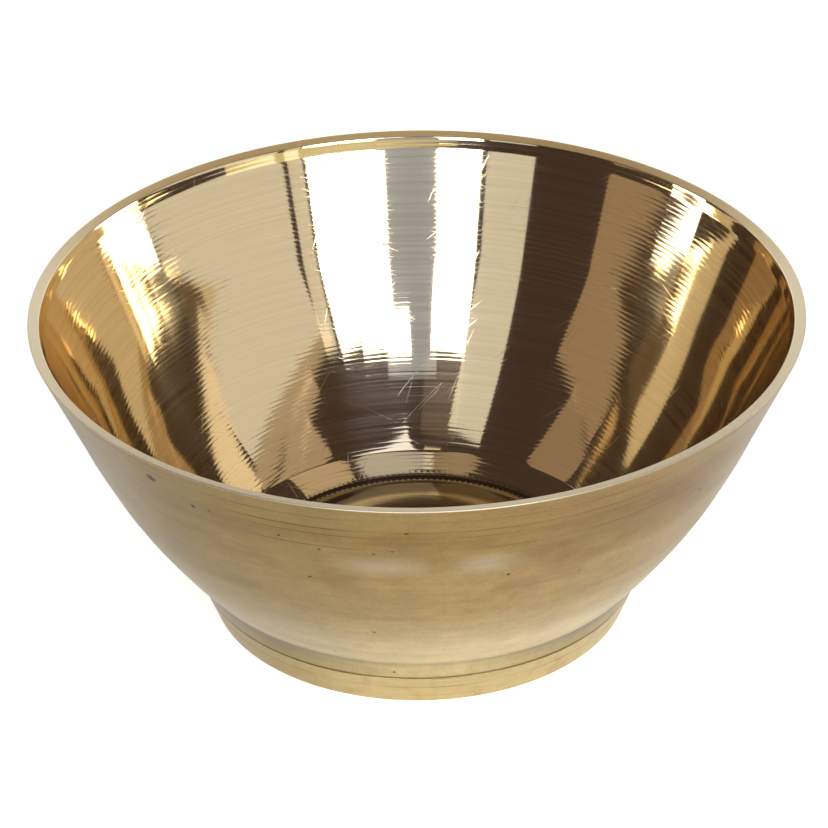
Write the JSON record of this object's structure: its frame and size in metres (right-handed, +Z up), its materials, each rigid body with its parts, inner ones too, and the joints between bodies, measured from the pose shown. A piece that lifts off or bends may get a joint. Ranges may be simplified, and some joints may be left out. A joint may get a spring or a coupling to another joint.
{
  "type": "offering bowl",
  "caption": "Round turned bronze offering bowl with a flared wall, a narrow sloping rim, a grooved flat floor and a soldered foot ring to stand on.",
  "frame": {"origin": "on the table, under the bowl's axis", "axes": "+Z up along the bowl's turning axis; X and Y are any two level directions, because the bowl is round"},
  "size_m": [0.115, 0.115, 0.0491],
  "materials": {
    "turned_bronze": "polished, with fine turning lines",
    "ring_brass": "polished, with fine turning lines",
    "hard_solder": "dull, darkened"
  },
  "bodies": {
    "root": {"bowl_body": "turned_bronze", "foot_ring": "ring_brass", "solder_seam": "hard_solder"}
  },
  "joints": []
}
